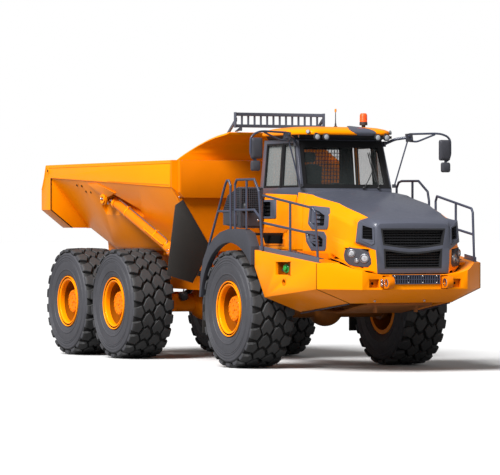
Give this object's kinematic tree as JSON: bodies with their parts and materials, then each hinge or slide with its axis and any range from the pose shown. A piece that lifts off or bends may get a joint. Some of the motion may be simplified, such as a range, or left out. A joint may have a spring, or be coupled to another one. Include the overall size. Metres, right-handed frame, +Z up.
{
  "type": "articulated dump truck",
  "caption": "Six-wheel articulated dump truck: front unit with cab and tilting hood, steering and oscillating joint, rear unit with walking beams and a tipping bed.",
  "frame": {"origin": "on the ground, at the middle of the machine's length and width", "axes": "+X forward, +Y to the machine's left, +Z up"},
  "size_m": [10.9269, 3.5419, 4.0498],
  "materials": {
    "yellow_paint": "semi-gloss orange-yellow paint",
    "slate_paint": "satin slate grey paint",
    "dark_casting": "dark painted casting",
    "tyre": "matt rubber",
    "rubber": "matt rubber",
    "glass": "clear",
    "black_plastic": "textured",
    "rod_chrome": "hard chrome",
    "lamp": "clear lens"
  },
  "bodies": {
    "tractor": {"front_frame": "yellow_paint", "front_axle": "dark_casting", "engine_block": "dark_casting", "front_bumper": "yellow_paint", "access_steps": "slate_paint", "side_cowls": "yellow_paint", "scuttle": "slate_paint", "cab_frame": "slate_paint", "cab_glass": "glass", "cab_roof": "yellow_paint", "roof_fittings": "lamp", "cab_interior": "black_plastic", "front_fenders": "slate_paint", "front_mudflaps": "rubber", "cooler_unit": "slate_paint", "step_rails": "slate_paint", "fender_rails": "slate_paint", "walkway_rails": "slate_paint", "mirrors": "slate_paint"},
    "hood": {"hood_shell": "yellow_paint", "hood_top": "slate_paint", "grille": "slate_paint", "headlamps": "lamp"},
    "door": {"cab_door": "yellow_paint", "door_glass": "glass"},
    "head": {"articulation_head": "yellow_paint"},
    "rear_unit": {"rear_frame": "yellow_paint", "rear_axles": "dark_casting", "walking_beams": "yellow_paint"},
    "bed": {"bed_floor": "yellow_paint", "bed_sides": "yellow_paint", "bed_headboard": "yellow_paint", "spill_guard": "yellow_paint", "rock_guard": "slate_paint", "bed_flaps": "rubber"},
    "wheel_front_left": {"tyre_front_left": "tyre", "rim_front_left": "yellow_paint"},
    "wheel_front_right": {"tyre_front_right": "tyre", "rim_front_right": "yellow_paint"},
    "wheel_middle_left": {"tyre_middle_left": "tyre", "rim_middle_left": "yellow_paint"},
    "wheel_middle_right": {"tyre_middle_right": "tyre", "rim_middle_right": "yellow_paint"},
    "wheel_rear_left": {"tyre_rear_left": "tyre", "rim_rear_left": "yellow_paint"},
    "wheel_rear_right": {"tyre_rear_right": "tyre", "rim_rear_right": "yellow_paint"},
    "hoist_barrel_left": {"hoist_barrel_left": "yellow_paint"},
    "hoist_rod_left": {"hoist_rod_left": "rod_chrome"},
    "steer_barrel_left": {"steer_barrel_left": "yellow_paint"},
    "steer_rod_left": {"steer_rod_left": "rod_chrome"},
    "hoist_barrel_right": {"hoist_barrel_right": "yellow_paint"},
    "hoist_rod_right": {"hoist_rod_right": "rod_chrome"},
    "steer_barrel_right": {"steer_barrel_right": "yellow_paint"},
    "steer_rod_right": {"steer_rod_right": "rod_chrome"}
  },
  "joints": [
    {"name": "steering", "type": "hinge", "parent": "tractor", "child": "head", "pos_m": [0.7485, 0, 1.18], "axis": [0, 0, 1], "range_deg": [-40, 40]},
    {"name": "oscillation", "type": "hinge", "parent": "head", "child": "rear_unit", "pos_m": [0.0065, 0, 1.18], "axis": [1, 0, 0], "range_deg": [-12, 12]},
    {"name": "bed_tip", "type": "hinge", "parent": "rear_unit", "child": "bed", "pos_m": [-4.5935, 0, 1.55], "axis": [0, -1, 0], "range_deg": [0, 70]},
    {"name": "hood_tilt", "type": "hinge", "parent": "tractor", "child": "hood", "pos_m": [5.2365, 0, 1.45], "axis": [0, 1, 0], "range_deg": [0, 65]},
    {"name": "cab_door_swing", "type": "hinge", "parent": "tractor", "child": "door", "pos_m": [1.8015, 0.842, 2.6], "axis": [0, 0, 1], "range_deg": [0, 80]},
    {"name": "front_left_wheel_turn", "type": "hinge", "parent": "tractor", "child": "wheel_front_left", "pos_m": [2.3065, 1.345, 0.92], "axis": [0, 1, 0], "continuous": true},
    {"name": "front_right_wheel_turn", "type": "hinge", "parent": "tractor", "child": "wheel_front_right", "pos_m": [2.3065, -1.345, 0.92], "axis": [0, 1, 0], "continuous": true},
    {"name": "middle_left_wheel_turn", "type": "hinge", "parent": "rear_unit", "child": "wheel_middle_left", "pos_m": [-2.1315, 1.345, 0.92], "axis": [0, 1, 0], "continuous": true},
    {"name": "middle_right_wheel_turn", "type": "hinge", "parent": "rear_unit", "child": "wheel_middle_right", "pos_m": [-2.1315, -1.345, 0.92], "axis": [0, 1, 0], "continuous": true},
    {"name": "rear_left_wheel_turn", "type": "hinge", "parent": "rear_unit", "child": "wheel_rear_left", "pos_m": [-4.0815, 1.345, 0.92], "axis": [0, 1, 0], "continuous": true},
    {"name": "rear_right_wheel_turn", "type": "hinge", "parent": "rear_unit", "child": "wheel_rear_right", "pos_m": [-4.0815, -1.345, 0.92], "axis": [0, 1, 0], "continuous": true},
    {"name": "hoist_pivot_left", "type": "hinge", "parent": "rear_unit", "child": "hoist_barrel_left", "pos_m": [-0.4435, 1.36, 1.8], "axis": [0, -1, 0], "range_deg": [-0.62, 1]},
    {"name": "hoist_stroke_left", "type": "slide", "parent": "hoist_barrel_left", "child": "hoist_rod_left", "axis": [-0.9447, 0, 0.328], "range_m": [0, 2.2737]},
    {"name": "steer_pivot_left", "type": "hinge", "parent": "tractor", "child": "steer_barrel_left", "pos_m": [1.8485, 0.62, 1.18], "axis": [0, 0, 1], "range_deg": [-4.41, 4.41]},
    {"name": "steer_stroke_left", "type": "slide", "parent": "steer_barrel_left", "child": "steer_rod_left", "axis": [-0.9892, -0.1465, 0], "range_m": [-0.3004, 0.3004]},
    {"name": "hoist_pivot_right", "type": "hinge", "parent": "rear_unit", "child": "hoist_barrel_right", "pos_m": [-0.4435, -1.36, 1.8], "axis": [0, -1, 0], "range_deg": [-0.62, 1]},
    {"name": "hoist_stroke_right", "type": "slide", "parent": "hoist_barrel_right", "child": "hoist_rod_right", "axis": [-0.9447, 0, 0.328], "range_m": [0, 2.2737]},
    {"name": "steer_pivot_right", "type": "hinge", "parent": "tractor", "child": "steer_barrel_right", "pos_m": [1.8485, -0.62, 1.18], "axis": [0, 0, 1], "range_deg": [-4.41, 4.41]},
    {"name": "steer_stroke_right", "type": "slide", "parent": "steer_barrel_right", "child": "steer_rod_right", "axis": [-0.9892, 0.1465, 0], "range_m": [-0.3004, 0.3004]}
  ],
  "couplings": [
    {"joint": "hoist_pivot_left", "follows": "bed_tip", "ratio": -0.008141},
    {"joint": "hoist_stroke_left", "follows": "bed_tip", "m_per_rad": 1.8594},
    {"joint": "steer_pivot_left", "follows": "steering", "ratio": 0.10887},
    {"joint": "steer_stroke_left", "follows": "steering", "m_per_rad": 0.42741},
    {"joint": "hoist_pivot_right", "follows": "bed_tip", "ratio": -0.008141},
    {"joint": "hoist_stroke_right", "follows": "bed_tip", "m_per_rad": 1.8594},
    {"joint": "steer_pivot_right", "follows": "steering", "ratio": 0.10887},
    {"joint": "steer_stroke_right", "follows": "steering", "m_per_rad": -0.42741}
  ]
}
